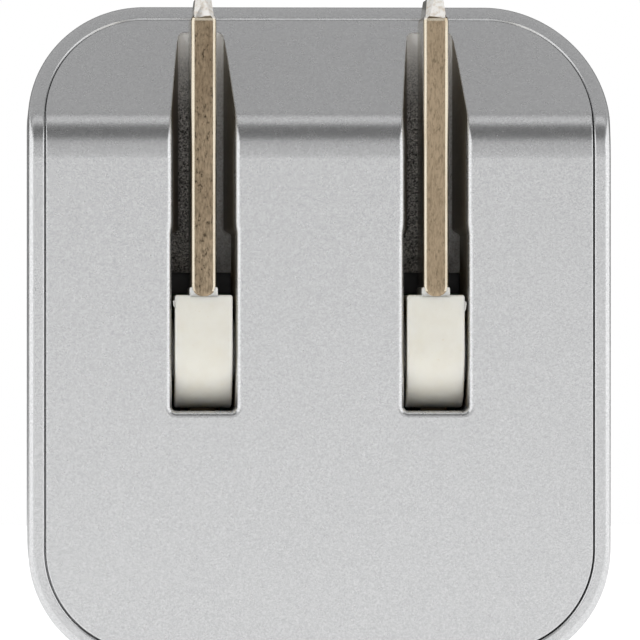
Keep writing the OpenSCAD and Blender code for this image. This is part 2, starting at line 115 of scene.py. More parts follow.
view_distance = 450 * MM
view_turn = math.radians(2.2)
view_width = 34.97 * MM
film_width = 36
aim = Vector((0, face_y, 19.07 * MM))
away = Vector((-math.sin(view_turn), -math.cos(view_turn), 0))
camera = bpy.data.cameras.new("camera")
camera.sensor_width = film_width
camera.lens = film_width * view_distance / view_width
camera.clip_start = 0.01
camera_object = bpy.data.objects.new("camera", camera)
bpy.context.collection.objects.link(camera_object)
look_towards(camera_object, aim + view_distance * away, aim)
bpy.context.scene.camera = camera_object

middle = Vector((0, 0, case_h / 2))
softbox("front_panel", (0, -0.9, 0.215), middle, (1.9, 0.83), 0.62)
softbox("overhead_front", (0, -0.165, 0.7), middle, (1.0, 0.23), 0.93)
softbox("overhead_back", (0, 0.4, 0.7), middle, (1.9, 0.9), 0.465)
softbox("left_strip", (-0.7, -0.2, 0.2), middle, (1.04, 0.8), 1.5)
softbox("right_strip", (0.7, -0.2, 0.2), middle, (1.04, 0.8), 1.5)

world = bpy.data.worlds.new("studio")
world.use_nodes = True
bpy.context.scene.world = world
air = world.node_tree
seen = add_node(air, "ShaderNodeLightPath", {})
level = add_node(air, "ShaderNodeMapRange",
                 {"To Min": room_light, "To Max": 1.0, "Value": seen["Is Camera Ray"]})
connect(air.nodes["Background"], {"Strength": level["Result"], "Color": (1, 1, 1, 1)})
bpy.context.scene.view_settings.view_transform = "Standard"

# ---- Case shell ----
# The tub is injection-moulded plastic with a silver metallic paint. It has a soft edge
# round the USB end and a narrow rounded rim round the face panel, cut to the face's
# flat, bend and slope.

corner_r = 6.5 * MM
wall = 1.6 * MM
rim_w = 0.92 * MM
rim_top = 0.76 * MM
panel_t = 1.6 * MM
end_edge_r = 2.6 * MM
crease_z = 29.6 * MM
slope_angle = math.radians(52.2)
bend_r = 3.5 * MM
bend_start = crease_z - bend_r * math.tan(slope_angle / 2)
bend_rise = bend_r * math.sin(slope_angle)
usb_z = 18.1 * MM
usb_hole = (6.85 * MM, 3.16 * MM, 0.6 * MM)


def face_at(z):
    """Y of the face surface at height z: flat, then the bend, then the slope."""
    u = min(max(z - bend_start, 0), bend_rise)
    bend = bend_r - math.sqrt(bend_r ** 2 - u ** 2)
    return face_y + bend + max(z - bend_start - bend_rise, 0) * math.tan(slope_angle)


def calc(tree, operation, first, second=0.0):
    """One sum on two values."""
    return add_node(tree, "ShaderNodeMath", {0: first, 1: second}, operation=operation)[0]


def new_tree(name, numbers, counts=(), takes_mesh=False):
    """A Geometry Nodes tree with named inputs; returns it and the outputs that carry them."""
    tree = bpy.data.node_groups.new(name, "GeometryNodeTree")
    face = tree.interface
    if takes_mesh:
        face.new_socket("Geometry", in_out="INPUT", socket_type="NodeSocketGeometry")
    for kind, names in (("Float", numbers), ("Int", counts), ("Material", ("Finish",))):
        for label in names:
            face.new_socket(label, in_out="INPUT", socket_type="NodeSocket" + kind)
    face.new_socket("Geometry", in_out="OUTPUT", socket_type="NodeSocketGeometry")
    return tree, add_node(tree, "NodeGroupInput", {})


def end_tree(tree, given, geometry):
    """Ends a Geometry Nodes tree with real geometry in its finish."""
    real = add_node(tree, "GeometryNodeRealizeInstances", {"Geometry": geometry})
    coated = add_node(tree, "GeometryNodeSetMaterial",
                      {"Geometry": real["Geometry"], "Material": given["Finish"]})
    add_node(tree, "NodeGroupOutput", {"Geometry": coated["Geometry"]})
    return tree


def face_tree():
    """Geometry Nodes: moves points marked on_face from a flat face onto the flat, bend and slope."""
    tree, given = new_tree("bend_to_face", ("Face", "Bend Start", "Bend Radius", "Slope Angle"),
                           takes_mesh=True)

    def reckon(operation, *terms):
        return calc(tree, operation, *terms)

    place = add_node(tree, "GeometryNodeInputPosition", {})
    apart = add_node(tree, "ShaderNodeSeparateXYZ", {0: place["Position"]})
    rise = reckon("SUBTRACT", apart["Z"], given["Bend Start"])
    top = reckon("MULTIPLY", given["Bend Radius"], reckon("SINE", given["Slope Angle"]))
    in_bend = reckon("MINIMUM", reckon("MAXIMUM", rise, 0.0), top)
    square = reckon("SUBTRACT", reckon("POWER", given["Bend Radius"], 2.0),
                    reckon("POWER", in_bend, 2.0))
    bend = reckon("SUBTRACT", given["Bend Radius"], reckon("SQRT", square))
    above = reckon("MAXIMUM", reckon("SUBTRACT", rise, top), 0.0)
    slope = reckon("MULTIPLY", above, reckon("TANGENT", given["Slope Angle"]))
    moved = reckon("ADD", given["Face"], reckon("ADD", bend, slope))
    marked = add_node(tree, "GeometryNodeInputNamedAttribute", {"Name": "on_face"},
                      data_type="FLOAT")
    offset = add_node(tree, "ShaderNodeCombineXYZ",
                      {"Y": reckon("MULTIPLY", moved, marked["Attribute"])})
    placed = add_node(tree, "GeometryNodeSetPosition",
                      {"Geometry": given["Geometry"], "Offset": offset[0]})
    return end_tree(tree, given, placed["Geometry"])


def bake(thing):
    """Turns an object with modifiers into a plain mesh."""
    bpy.context.view_layer.update()
    seen_now = thing.evaluated_get(bpy.context.evaluated_depsgraph_get())
    mesh = bpy.data.meshes.new_from_object(seen_now)
    thing.modifiers.clear()
    thing.data = mesh
    mesh.name = thing.name
    return thing


def new_object(name, mesh):
    """An object for a mesh, linked into the scene."""
    thing = bpy.data.objects.new(name, mesh)
    bpy.context.collection.objects.link(thing)
    return thing


def meshed(bm, name):
    """An object from a mesh under construction, which is dropped."""
    mesh = bpy.data.meshes.new(name)
    bm.to_mesh(mesh)
    bm.free()
    return new_object(name, mesh)


def run_tree(thing, tree, values):
    """Runs a Geometry Nodes tree on an object and keeps the result as its mesh."""
    modifier = thing.modifiers.new(tree.name, "NODES")
    modifier.node_group = tree
    for item in tree.interface.items_tree:
        if item.item_type == "SOCKET" and item.in_out == "INPUT" and item.name in values:
            modifier[item.identifier] = values[item.name]
    return bake(thing)


def dress(thing, *finishes):
    """Gives an object these finishes and no others. Every face goes to the first."""
    thing.data.materials.clear()
    for finish in finishes:
        thing.data.materials.append(finish)


def loop(half_w, half_h, radius, centre_z, inset, side_steps, corner_steps=48):
    """Points (x, z) round a rounded rectangle moved inwards by inset, from the lower right."""
    points = []
    for turn, (sx, sz) in enumerate(((1, -1), (1, 1), (-1, 1), (-1, -1))):
        middle = (sx * (half_w - radius), centre_z + sz * (half_h - radius))
        for i in range(corner_steps + 1):
            angle = math.radians(90 * (turn - 1) + 90 * i / corner_steps)
            points.append((middle[0] + (radius - inset) * math.cos(angle),
                           middle[1] + (radius - inset) * math.sin(angle)))
        if turn in (0, 2):
            for share in side_steps if turn == 0 else reversed(side_steps):
                points.append((sx * (half_w - inset),
                               centre_z + (2 * share - 1) * (half_h - radius)))
    return points


def ring(bm, mark, points, depth, on_face):
    """A row of vertices at one depth, following the face or at a fixed Y."""
    row = []
    for x, z in points:
        vertex = bm.verts.new((x, depth, z))
        vertex[mark] = 1.0 if on_face else 0.0
        row.append(vertex)
    return row


def ease(value, start, end):
    """0 before start, 1 after end, smooth between."""
    share = min(max((value - start) / (end - start), 0), 1)
    return share * share * (3 - 2 * share)


def skin(bm, rows, closed=False, slot_index=0):
    """Quads between rows of vertices."""
    pairs = list(zip(rows, rows[1:]))
    if closed:
        pairs.append((rows[-1], rows[0]))
    for low, high in pairs:
        for i in range(len(low)):
            j = (i + 1) % len(low)
            bm.faces.new((low[i], low[j], high[j], high[i])).material_index = slot_index


def arc(radius, steps):
    """Pairs (inset, depth) from a top surface over a rounded edge to the side."""
    turns = [math.pi / 2 * i / steps for i in range(steps + 1)]
    return [(radius * (1 - math.sin(t)), radius * (1 - math.cos(t))) for t in turns]


def closed_skin(bm, rows):
    """A smoothed skin with both of its ends filled."""
    skin(bm, rows)
    bm.faces.new(rows[0])
    bm.faces.new(rows[-1])
    smooth(bm)


def smooth(bm, sharp=32):
    """Merges doubles, turns faces outwards and marks the sharp edges."""
    bmesh.ops.remove_doubles(bm, verts=bm.verts, dist=0.0005 * MM)
    bmesh.ops.dissolve_degenerate(bm, edges=bm.edges, dist=0.0002 * MM)
    bmesh.ops.recalc_face_normals(bm, faces=bm.faces)
    mark_sharp(bm, sharp)


def mark_sharp(bm, sharp=32):
    """Smooth shading, with the edges over the given angle left crisp."""
    for face in bm.faces:
        face.smooth = True
    for edge in bm.edges:
        edge.smooth = len(edge.link_faces) == 2 and edge.calc_face_angle(0) < math.radians(sharp)


def weigh_normals(thing):
    """Lets the large faces set the shading at rounded edges, and the face surface its own."""
    weighted = thing.modifiers.new("weighted", "WEIGHTED_NORMAL")
    weighted.mode = "FACE_AREA"
    weighted.weight = 100
    weighted.keep_sharp = True
    bake(thing)
    normals = [Vector(corner.vector) for corner in thing.data.corner_normals]
    for corner in thing.data.loops:
        _, y, z = thing.data.vertices[corner.vertex_index].co
        if abs(y - face_at(z)) < 0.0004 * MM:
            u = min(max(z - bend_start, 0), bend_rise)
            lean = math.asin(u / bend_r)
            normals[corner.index] = Vector((0, -math.cos(lean), math.sin(lean)))
    thing.data.normals_split_custom_set(normals)
    return thing


def combine(thing, tool, operation):
    """Joins another solid to this one or cuts it away, and drops the other."""
    modifier = thing.modifiers.new("combine", "BOOLEAN")
    modifier.operation = operation
    modifier.solver = "EXACT"
    modifier.object = tool
    bake(thing)
    bpy.data.objects.remove(tool)
    bm = bmesh.new()
    bm.from_mesh(thing.data)
    mark_sharp(bm)
    bm.to_mesh(thing.data)
    bm.free()
    return thing


def bar_tree():
    """Geometry Nodes: a bar along Y with a rounded rectangle as its section."""
    tree, given = new_tree("rounded_bar", ("Width", "Height", "Radius", "Front", "Back",
                                           "Middle X", "Middle Z"), ("Corner Steps",))
    section = add_node(tree, "GeometryNodeCurvePrimitiveQuadrilateral",
                       {"Width": given["Width"], "Height": given["Height"]})
    corners = add_node(tree, "GeometryNodeFilletCurve",
                       {"Curve": section["Curve"], "Radius": given["Radius"],
                        "Count": given["Corner Steps"]}, mode="POLY")
    filled = add_node(tree, "GeometryNodeFillCurve", {"Curve": corners["Curve"]}, mode="NGONS")
    length = calc(tree, "SUBTRACT", given["Back"], given["Front"])
    pulled = add_node(tree, "GeometryNodeExtrudeMesh",
                      {"Mesh": filled["Mesh"], "Offset Scale": length, "Individual": False})
    bottom = add_node(tree, "GeometryNodeFlipFaces", {"Mesh": filled["Mesh"]})
    both = add_node(tree, "GeometryNodeJoinGeometry", {"Geometry": bottom["Mesh"]})["Geometry"]
    tree.links.new(pulled["Mesh"], both.node.inputs["Geometry"])
    closed = add_node(tree, "GeometryNodeMergeByDistance",
                      {"Geometry": both, "Distance": 0.001 * MM})
    place = add_node(tree, "ShaderNodeCombineXYZ",
                     {"X": given["Middle X"], "Y": given["Back"], "Z": given["Middle Z"]})
    stood = add_node(tree, "GeometryNodeTransform",
                     {"Geometry": closed["Geometry"], "Translation": place["Vector"],
                      "Rotation": (math.pi / 2, 0, 0)})
    return end_tree(tree, given, stood["Geometry"])


def bar(name, width, height, radius, front, back, middle_x=0.0, middle_z=0.0, steps=16, along="Y"):
    """A baked rounded bar. Along X, front and back are X and middle_x is Y."""
    thing = new_object(name, bpy.data.meshes.new(name))
    run_tree(thing, bars, {"Width": width, "Height": height, "Radius": radius, "Front": front,
                           "Back": back, "Middle X": 0.0 if along == "X" else middle_x,
                           "Middle Z": middle_z, "Corner Steps": steps, "Finish": None})
    if along == "X":
        turn = Matrix(((0, 1, 0, 0), (-1, 0, 0, middle_x), (0, 0, 1, 0), (0, 0, 0, 1)))
        thing.data.transform(turn)
    return thing


def joined(name, things):
    """One object from several; each keeps its own closed skin."""
    bm = bmesh.new()
    for thing in things:
        bm.from_mesh(thing.data)
        bpy.data.objects.remove(thing)
    bmesh.ops.recalc_face_normals(bm, faces=bm.faces)
    mark_sharp(bm)
    return meshed(bm, name)


def object_point(tree, scale=(1, 1, 1)):
    """The point on the piece in metres, stretched by scale."""
    where = add_node(tree, "ShaderNodeTexCoord", {})
    return add_node(tree, "ShaderNodeMapping", {"Vector": where["Object"], "Scale": scale})["Vector"]


def noise(tree, size, detail=3.0, roughness=0.5, stretch=(1, 1, 1)):
    """Soft noise whose blotches are about size across."""
    return add_node(tree, "ShaderNodeTexNoise",
                    {"Scale": 1 / size, "Detail": detail, "Roughness": roughness,
                     "Vector": object_point(tree, stretch)})["Fac"]


def cells(tree, size):
    """A random value for each flake or grain of about that size."""
    grains = add_node(tree, "ShaderNodeTexVoronoi",
                      {"Scale": 1 / size, "Vector": object_point(tree)})
    return add_node(tree, "ShaderNodeSeparateColor", {"Color": grains["Color"]})["Red"]


def spread(tree, value, low, high, start=0.0, end=1.0):
    """Maps a value from start..end to low..high."""
    return add_node(tree, "ShaderNodeMapRange",
                    {"Value": value, "From Min": start, "From Max": end,
                     "To Min": low, "To Max": high})["Result"]


def blend_colours(tree, share, first, second):
    """A colour between two, by share. Either may be a colour or another node's output."""
    first, second = ((*one, 1) if isinstance(one, tuple) else one for one in (first, second))
    return add_node(tree, "ShaderNodeMix", {"Factor": share, 6: first, 7: second},
                    data_type="RGBA")[2]


def relief(tree, shader, *layers):
    """Bump from layers of (height, depth in metres), laid over one another."""
    below = None
    for height, depth in layers:
        inputs = {"Strength": 1.0, "Distance": depth, "Height": height}
        if below:
            inputs["Normal"] = below
        below = add_node(tree, "ShaderNodeBump", inputs)["Normal"]
    connect(shader, {"Normal": below})


paint, tree, shader = new_material("silver_paint")
flake = cells(tree, 0.055 * MM)
cloud = noise(tree, 1.6 * MM, 4)
tone = calc(tree, "ADD", spread(tree, flake, 0.0, 0.86), spread(tree, cloud, 0.0, 0.14))
connect(shader, {
    "Base Color": blend_colours(tree, tone, (0.442, 0.445, 0.450), (0.574, 0.576, 0.58)),
    "Metallic": 0.9,
    "Roughness": spread(tree, noise(tree, 0.5 * MM, 5), 0.23, 0.30)})
relief(tree, shader, (noise(tree, 0.35 * MM, 2), 0.00025 * MM), (flake, 0.0003 * MM))

bars = bar_tree()
bend_to_face = face_tree()
face_shape = {"Face": face_y, "Bend Start": bend_start, "Bend Radius": bend_r,
              "Slope Angle": slope_angle, "Finish": paint}
side_zs = [bend_start + (case_h - corner_r - bend_start) * i / 22 for i in range(22)]
side_steps = [(z - corner_r) / (case_h - 2 * corner_r) for z in side_zs]


def case_loop(inset):
    """The case's outline moved inwards."""
    return loop(case_w / 2, case_h / 2, corner_r, case_h / 2, inset, side_steps)


def face_loop(inset, lift=0.0):
    """The rim's inner edge moved inwards. The rim is narrower at the top; lift closes its seam."""
    rise = rim_w - rim_top + lift
    steps = [(z - corner_r) / (case_h + rise - 2 * corner_r) for z in side_zs]
    return loop(case_w / 2, (case_h + rise) / 2, corner_r, (case_h + rise) / 2, inset, steps)


def hole_loop(grow):
    """The outline of the opening round the socket, moved outwards by grow."""
    half_w, half_h, radius = usb_hole
    return loop(half_w + grow, half_h + grow, radius + grow, usb_z, 0, side_steps)


inner_end_y = end_y - wall
seam_edge = 0.14 * MM
panel_edge = 0.09 * MM
rim_edge = 0.42 * MM
hole_edge = 0.25 * MM
bm = bmesh.new()
mark = bm.verts.layers.float.new("on_face")
rows = [ring(bm, mark, face_loop(rim_w), panel_t, True)]
for inset, depth in reversed(arc(seam_edge, 5)):
    rows.append(ring(bm, mark, face_loop(rim_w - inset), depth, True))
    for vertex in rows[-1]:
        upright = (seam_edge - inset) * math.tan(slope_angle)
        vertex.co.y += (upright - depth) * ease(vertex.co.z, crease_z, crease_z + 2 * MM)
for inset, depth in arc(rim_edge, 9):
    rows.append(ring(bm, mark, case_loop(inset), depth, True))
for i in range(19):
    turn = math.pi / 2 * i / 18
    rows.append(ring(bm, mark, case_loop(end_edge_r * (1 - math.cos(turn))),
                     end_y - end_edge_r * (1 - math.sin(turn)), False))
for grow, depth in arc(hole_edge, 5):
    rows.append(ring(bm, mark, hole_loop(grow), end_y - depth, False))
rows.append(ring(bm, mark, hole_loop(0), inner_end_y, False))
rows.append(ring(bm, mark, case_loop(wall), inner_end_y, False))
rows.append(ring(bm, mark, case_loop(wall), panel_t, True))
skin(bm, rows, closed=True)
case_shell = run_tree(meshed(bm, "case_shell"), bend_to_face, face_shape)
bm = bmesh.new()
bm.from_mesh(case_shell.data)
smooth(bm)
bm.to_mesh(case_shell.data)
bm.free()
board_low, board_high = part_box("main_board")
ribs = [bar("rib", 1.7 * MM, 1.5 * MM, 0.2 * MM, board_high.y, inner_end_y + 0.4 * MM,
            side * 13.75 * MM, z * MM, 4) for side in (-1, 1) for z in (13.35, 23.15)]
combine(case_shell, joined("ribs", ribs), "UNION")
dress(case_shell, paint)
weigh_normals(case_shell)
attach(case_shell, "case")
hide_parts("main_shell")

# ---- Face panel ----
# A separate moulding in the same silver paint, fitted flush inside the rim with a fine
# seam all round. Each blade folds into a drafted slot with a softly rounded mouth. Its
# walls are dark brown as painted shade. Its rough grained floor runs lighter towards
# the slot's top end, with painted light on the floor right of the blade.

pivot = Vector((0, face_y + 3.2 * MM, 17.4 * MM))
blade_x = 6.35 * MM
panel_inset = rim_w + 0.06 * MM
floor_y = face_y + 7.1 * MM
slot_box_back = floor_y + 0.9 * MM
slot_low = pivot.z - 3.3 * MM
slot_top = 35.0 * MM
well_top = pivot.z + 4.3 * MM
seam_lift = 0.045 * MM
mouth_edge = 0.38 * MM
slope_mouth_edge = 0.08 * MM
floor_edge = 0.16 * MM


def on_slope(z):
    """0 on the flat, 1 on the slope, smooth between."""
    return ease(z, bend_start + 0.3 * bend_rise, bend_start + bend_rise)


def slot_half(z, y):
    """Half width of a slot at that height and depth: a pivot pocket below, a drafted slot above."""
    depth = (y - face_y) / (floor_y - face_y)
    rise = z - pivot.z
    at_mouth = 1.75 - 0.05 * ease(rise, 6.3 * MM, 7.1 * MM)
    at_mouth += 0.14 * on_slope(z)
    at_floor = 1.68 - 0.43 * ease(rise, 6.35 * MM, 6.7 * MM)
    return (at_mouth + (at_floor - at_mouth) * depth) * MM


front_loop = face_loop(panel_inset + panel_edge, seam_lift)
bend_rows = [i for i, (x, z) in enumerate(front_loop)
             if x > 0 and bend_start - 0.01 * MM < z < bend_start + bend_rise + 0.05 * MM]
bend_zs = [front_loop[i][1] for i in bend_rows]
pocket_rises = [4.3, 6.3] + [6.35 + 0.07 * i for i in range(6)] + [6.8 + 0.1 * i for i in range(4)]
pocket_zs = [pivot.z + rise * MM for rise in pocket_rises]
slope_zs = [z * MM for z in (31.2, 32, 33, 33.6, 34.0, 34.3, 34.5)]
slot_zs = sorted(pocket_zs + bend_zs + slope_zs)
low_r, top_r = 0.25 * MM, 0.3 * MM


def slot_loop(offset, y_of):
    """Points (x, y, z) round a slot, moved outwards. y_of gives each point's depth."""
    points = []
    corners = ((1, -1, low_r, -90), (1, 1, top_r, 0), (-1, 1, top_r, 90), (-1, -1, low_r, 180))
    for sx, sz, radius, start in corners:
        if sx == sz:
            for z in slot_zs if sx > 0 else reversed(slot_zs):
                points.append((sx * (slot_half(z, y_of(z)) + offset(z)), y_of(z), z))
        end = slot_top if sz > 0 else slot_low
        for i in range(9):
            angle = math.radians(start + 90 * i / 8)
            base = end - sz * radius
            y = y_of(end)
            reach = offset(end)
            x = sx * (slot_half(base, y) - radius) + (radius + reach) * math.cos(angle)
            z = base + (radius + reach) * math.sin(angle)
            points.append((x, y_of(z), z))
    return points


def slot_depth(z):
    """How deep the slot is at that height."""
    return max(floor_y - face_at(z), 0.0)


def fillet(z):
    """Radius of the mouth's edge, smaller where the slot runs out on the slope."""
    radius = mouth_edge + (slope_mouth_edge - mouth_edge) * on_slope(z)
    return min(radius, 0.4 * slot_depth(min(z, slot_top)))


def floor_fillet(z):
    """Radius where a wall meets the floor; none round the open well."""
    return 0.0 if z < well_top + 0.01 * MM else min(floor_edge, 0.3 * slot_depth(min(z, slot_top)))


def fill_flat(bm, loops, ties, y_of):
    """Triangles between an outer loop and the loops inside it. ties are edges that must be kept."""
    flat = [point for one in loops for point in one]
    edges = []
    start = 0
    for one in loops:
        edges += [(start + i, start + (i + 1) % len(one)) for i in range(len(one))]
        start += len(one)
    verts, _, faces, _, _, _ = geometry.delaunay_2d_cdt(
        [Vector((x / MM, z / MM)) for x, z in flat], edges + ties, [], 0, 1e-6)
    rings = [[(x / MM, z / MM) for x, z in one] for one in loops]

    def inside(point, ring_points):
        odd = False
        for (x0, z0), (x1, z1) in zip(ring_points, ring_points[1:] + ring_points[:1]):
            if (z0 > point[1]) != (z1 > point[1]) and \
                    point[0] < (x1 - x0) * (point[1] - z0) / (z1 - z0) + x0:
                odd = not odd
        return odd

    exact = [Vector((x, z)) for x, z in flat]
    placed = []
    for i, vert in enumerate(verts):
        x, z = (exact[i] if i < len(exact) and (exact[i] / MM - vert).length < 1e-4 else vert * MM)
        vertex = bm.verts.new((x, y_of(z), z))
        placed.append(vertex)
    for face in faces:
        centre = sum((verts[i] for i in face), Vector((0, 0))) / len(face)
        if inside(centre, rings[0]) and not any(inside(centre, one) for one in rings[1:]):
            bm.faces.new([placed[i] for i in face])
    for vertex in placed:
        if not vertex.link_faces:
            bm.verts.remove(vertex)


def shifted(points, x):
    """A slot's points moved to one blade."""
    return [(px + x, py, pz) for px, py, pz in points]


bm = bmesh.new()
mouths, boxes = [], []
rows = []
for inset, depth in arc(panel_edge, 5):
    rows.append([bm.verts.new((x, face_at(z) + depth, z))
                 for x, z in face_loop(panel_inset + inset, seam_lift)])
rows.append([bm.verts.new((x, face_at(z) + panel_t, z)) for x, z in face_loop(panel_inset, seam_lift)])
skin(bm, rows)
box_half = 2.6 * MM
box_low, box_top = slot_low - 1.1 * MM, 34.0 * MM
box_zs = [box_low] + bend_zs + [box_top]
for side in (-1, 1):
    x = side * blade_x
    levels = []
    for i in range(7):
        turn = math.pi / 2 * i / 6
        levels.append(slot_loop(lambda z, t=turn: fillet(z) * (1 - math.sin(t)),
                                lambda z, t=turn: face_at(z) + fillet(z) * (1 - math.cos(t))))
    for i in range(5):
        turn = math.pi / 2 * i / 4
        levels.append(slot_loop(lambda z, t=turn: -floor_fillet(z) * (1 - math.cos(t)),
                                lambda z, t=turn: floor_y - floor_fillet(z) * (1 - math.sin(t))))
    slot_rows = [[bm.verts.new(point) for point in shifted(level, x)] for level in levels]
    skin(bm, slot_rows[:7])
    skin(bm, slot_rows[6:8], slot_index=2)
    for face in bm.faces:
        if face.material_index == 2 and face.calc_center_median().z < slot_low + low_r:
            face.material_index = 0
    skin(bm, slot_rows[7:], slot_index=1)
    mouths.append([(px, pz) for px, _, pz in shifted(levels[0], x)])
    bottom = slot_rows[-1]
    floor_points = [v for v in bottom if v.co.z > well_top - 0.005 * MM]
    well_points = [v for v in bottom if v.co.z < well_top + 0.005 * MM]
    split = next(i for i, v in enumerate(well_points) if v.co.x > x and v.co.z > well_top - 0.005 * MM)
    well = well_points[split + 1:] + well_points[:split + 1]
    bm.faces.new(floor_points).material_index = 1
    behind = [bm.verts.new((v.co.x, slot_box_back, v.co.z)) for v in well]
    for i in range(len(well)):
        j = (i + 1) % len(well)
        bm.faces.new((well[i], well[j], behind[j], behind[i])).material_index = 3
    around = [(x + box_half, z) for z in box_zs] + [(x - box_half, z) for z in reversed(box_zs)]
    boxes.append(around)
    on_skin = [bm.verts.new((px, face_at(pz) + panel_t, pz)) for px, pz in around]
    on_back = [bm.verts.new((px, slot_box_back, pz)) for px, pz in around]
    skin(bm, [on_skin, on_back])
    fill_flat(bm, [around, [(v.co.x, v.co.z) for v in behind]], [], lambda z: slot_box_back)


def bend_ties(outer, holes):
    """Edges across the face at each level of the bend, from rim to slot to slot to rim."""
    starts = [0]
    for one in [outer] + holes:
        starts.append(starts[-1] + len(one))
    left = [min(range(len(outer)),
                key=lambda i: abs(outer[i][0] + outer[k][0]) + abs(outer[i][1] - outer[k][1]))
            for k in bend_rows]
    ties = []
    for row, k in enumerate(bend_rows):
        z = bend_zs[row]
        chain = [left[row]]
        for number, one in enumerate(holes):
            level = [i for i in range(len(one)) if abs(one[i][1] - z) < 0.001 * MM]
            level.sort(key=lambda i: one[i][0])
            chain += [starts[number + 1] + level[0], starts[number + 1] + level[-1]]
        chain.append(k)
        ties += [(chain[0], chain[1]), (chain[2], chain[3]), (chain[4], chain[5])]
    return ties


fill_flat(bm, [front_loop] + mouths, bend_ties(front_loop, mouths), face_at)
back_loop = face_loop(panel_inset, seam_lift)
fill_flat(bm, [back_loop] + boxes, bend_ties(back_loop, boxes), lambda z: face_at(z) + panel_t)
smooth(bm)
face_panel = meshed(bm, "face_panel")

bosses = [bar("boss", 4.6 * MM, 4.6 * MM, 2.29 * MM, face_y + 1.4 * MM, pivot.y + 1.95 * MM,
              0, pivot.z + side * 6.2 * MM) for side in (-1, 1)]
posts = [bar("post", 2.6 * MM, 2.6 * MM, 1.29 * MM, face_y + 1.4 * MM, board_low.y,
             side * 11.4 * MM, z * MM) for side in (-1, 1) for z in (9, 25)]
combine(face_panel, joined("bosses", bosses + posts), "UNION")
bearing = bar("bearing", 3.5 * MM, 3.5 * MM, 1.749 * MM, -9.6 * MM, 9.6 * MM, pivot.y, pivot.z,
              along="X")
combine(face_panel, bearing, "DIFFERENCE")
cam_room = bar("cam_relief", 4.06 * MM, 4.06 * MM, 2.029 * MM, -1.8 * MM, 1.8 * MM, pivot.y, pivot.z,
                 along="X")
combine(face_panel, cam_room, "DIFFERENCE")
for side in (-1, 1):
    tail_room = bar("tail_room", 2.8 * MM, 5.1 * MM, 0.1 * MM, pivot.y - 1.55 * MM,
                    slot_box_back + 1 * MM, side * blade_x, pivot.z - 2.55 * MM, 2)
    combine(face_panel, tail_room, "DIFFERENCE")
    notch = bar("notch", 5.6 * MM, 3.5 * MM, 0.05 * MM, pivot.y, slot_box_back + 1 * MM,
                side * blade_x, pivot.z, 2)
    combine(face_panel, notch, "DIFFERENCE")

# Slot floor: a speckled grain that runs lighter towards the slot's top end.
grain, tree, shader = new_material("slot_overspray_painted_light")
apart = add_node(tree, "ShaderNodeSeparateXYZ", {0: object_point(tree)})
fade = spread(tree, apart["Z"], 0.0, 1.0, 30.6 * MM, 34.4 * MM)
slot_middle = calc(tree, "MULTIPLY", calc(tree, "SIGN", apart["X"]), blade_x)
# Painted light: the floor right of each blade is painted lighter. across is the share of that painted
# light, thick is the grain's painted lit tone and thin its darker tone; they are not paint thicknesses.
across = spread(tree, calc(tree, "SUBTRACT", apart["X"], slot_middle), 0.0, 1.0, 0.3 * MM, 0.9 * MM)
speck = calc(tree, "ADD", calc(tree, "MULTIPLY", cells(tree, 0.07 * MM), 0.6),
             calc(tree, "MULTIPLY", noise(tree, 0.2 * MM, 6, 0.75), 0.7))
thin = blend_colours(tree, spread(tree, speck, 0.0, 1.0, 0.35, 0.95),
                     (0.08, 0.07, 0.06), (0.95, 0.91, 0.86))
thick = blend_colours(tree, spread(tree, speck, 0.0, 1.0, 0.25, 0.85),
                      (0.66, 0.64, 0.61), (1.0, 0.99, 0.97))
grain_with_painted_light = blend_colours(tree, across, thin, thick)
connect(shader, {"Base Color": blend_colours(tree, fade, grain_with_painted_light, (0.97, 0.96, 0.94)),
                 "Roughness": spread(tree, noise(tree, 0.15 * MM, 3), 0.42, 0.62)})
relief(tree, shader, (speck, 0.035 * MM))

bare, tree, shader = new_material("bare_moulding")
connect(shader, {
    "Base Color": blend_colours(tree, noise(tree, 0.5 * MM, 4), (0.008, 0.008, 0.008),
                                (0.022, 0.021, 0.02)),
    "Roughness": spread(tree, noise(tree, 0.3 * MM), 0.5, 0.7)})
relief(tree, shader, (noise(tree, 0.12 * MM, 3), 0.006 * MM))

# Slot walls: their dark brown colour is painted shade and a painted dark reflection of the slot's
# inside.
painted_shade_wall, tree, shader = new_material("slot_wall")
connect(shader, {
    "Base Color": blend_colours(tree, noise(tree, 0.5 * MM, 5, 0.6), (0.14, 0.113, 0.080),
                                (0.29, 0.245, 0.18)),
    "Metallic": 0.5,
    "Roughness": spread(tree, noise(tree, 0.3 * MM, 4), 0.3, 0.48)})
relief(tree, shader, (noise(tree, 0.1 * MM, 3), 0.003 * MM))
for finish in (paint, grain, painted_shade_wall, bare):
    face_panel.data.materials.append(finish)
weigh_normals(face_panel)
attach(face_panel, "case")
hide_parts("prong_panel")

# ---- Blade carrier ----
# One piece of cream nylon: a block moulded round each blade, the shaft that joins them
# and a squared cam in the middle that the detent spring holds flat or upright.

block_half = 3.15 * MM
block_top = 3.04 * MM
block_edge = 0.13 * MM
block_corner = 0.17 * MM


def block_loop(inset):
    """Points (y, z) round a pivot block: round below the pivot, square above."""
    points = []
    for i in range(49):
        angle = math.pi + math.pi * i / 48
        points.append(((block_half - inset) * math.cos(angle), (block_half - inset) * math.sin(angle)))
    for side, start in ((1, 0), (-1, 90)):
        for i in range(7):
            angle = math.radians(start + 90 * i / 6)
            points.append((side * (block_half - block_corner) + (block_corner - inset) * math.cos(angle),
                           block_top - block_corner + (block_corner - inset) * math.sin(angle)))
    return [(pivot.y + y, pivot.z + z) for y, z in points]


def block(x):
    """A pivot block with softly rounded edges."""
    bm = bmesh.new()
    half = 1.575 * MM
    edge = arc(block_edge, 5)
    levels = [(inset, -half + depth) for inset, depth in edge]
    levels += [(inset, half - depth) for inset, depth in reversed(edge)]
    rows = [[bm.verts.new((x + along, y, z)) for y, z in block_loop(inset)]
            for inset, along in levels]
    closed_skin(bm, rows)
    return meshed(bm, "block")


front_y = pivot.y - block_half


